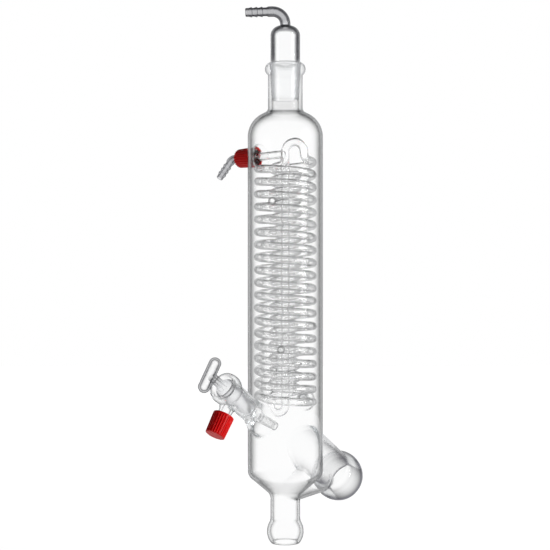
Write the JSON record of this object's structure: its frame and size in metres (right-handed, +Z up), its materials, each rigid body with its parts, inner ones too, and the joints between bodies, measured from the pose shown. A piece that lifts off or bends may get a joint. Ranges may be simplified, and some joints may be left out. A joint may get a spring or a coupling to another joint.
{
  "type": "lab glass condenser",
  "caption": "Vertical glass coil condenser with ball joint outlet, angled vapour flange, feed stopcock, water port and vacuum adapter.",
  "frame": {"origin": "centre of the opening of the ball joint at the bottom", "axes": "+Z up along the jacket's axis, +X to the right and +Y away from the viewer of the picture"},
  "size_m": [0.1547, 0.1683, 0.5091],
  "materials": {
    "clear_glass": "clear borosilicate glass, fire polished",
    "coil_glass": "clear borosilicate glass tube",
    "adapter_glass": "clear borosilicate glass with a ground cone",
    "key_glass": "clear borosilicate glass with a ground plug",
    "red_plastic": "moulded red plastic, satin",
    "silicone": "matt white silicone",
    "connector_plastic": "natural translucent plastic"
  },
  "bodies": {
    "glass": {"glass_jacket": "clear_glass", "cooling_coil": "coil_glass"},
    "adapter": {"vacuum_adapter": "adapter_glass"},
    "key": {"stopcock_key": "key_glass"},
    "liner": {"arm_liner": "silicone"},
    "side_cap": {"arm_cap": "red_plastic"},
    "seal": {"port_seal": "silicone"},
    "water_cap": {"port_cap": "red_plastic"},
    "connector": {"hose_connector": "connector_plastic"}
  },
  "joints": [
    {"name": "adapter_turn", "type": "hinge", "parent": "glass", "child": "adapter", "pos_m": [0, 0, 0.45], "axis": [0, 0, 1], "continuous": true},
    {"name": "key_turn", "type": "hinge", "parent": "glass", "child": "key", "pos_m": [0, 0, 0.0972], "axis": [-0.5547, -0.6161, 0.5592], "continuous": true},
    {"name": "liner_lift", "type": "slide", "parent": "glass", "child": "liner", "axis": [-0.3742, -0.4156, -0.829], "range_m": [0, 0.005]},
    {"name": "side_cap_turn", "type": "hinge", "parent": "liner", "child": "side_cap", "pos_m": [-0.04748, -0.05274, 0.14507], "axis": [-0.3742, -0.4156, -0.829], "range_deg": [0, 720]},
    {"name": "seal_lift", "type": "slide", "parent": "glass", "child": "seal", "axis": [-0.7071, 0.7071, 0], "range_m": [0, 0.005]},
    {"name": "water_cap_turn", "type": "hinge", "parent": "seal", "child": "water_cap", "pos_m": [0, 0, 0.3687], "axis": [-0.7071, 0.7071, 0], "range_deg": [0, 720]},
    {"name": "connector_turn", "type": "hinge", "parent": "seal", "child": "connector", "pos_m": [0, 0, 0.3687], "axis": [-0.7071, 0.7071, 0], "continuous": true}
  ],
  "couplings": [
    {"joint": "liner_lift", "follows": "side_cap_turn", "m_per_rad": 0.00039789},
    {"joint": "seal_lift", "follows": "water_cap_turn", "m_per_rad": 0.00039789}
  ]
}
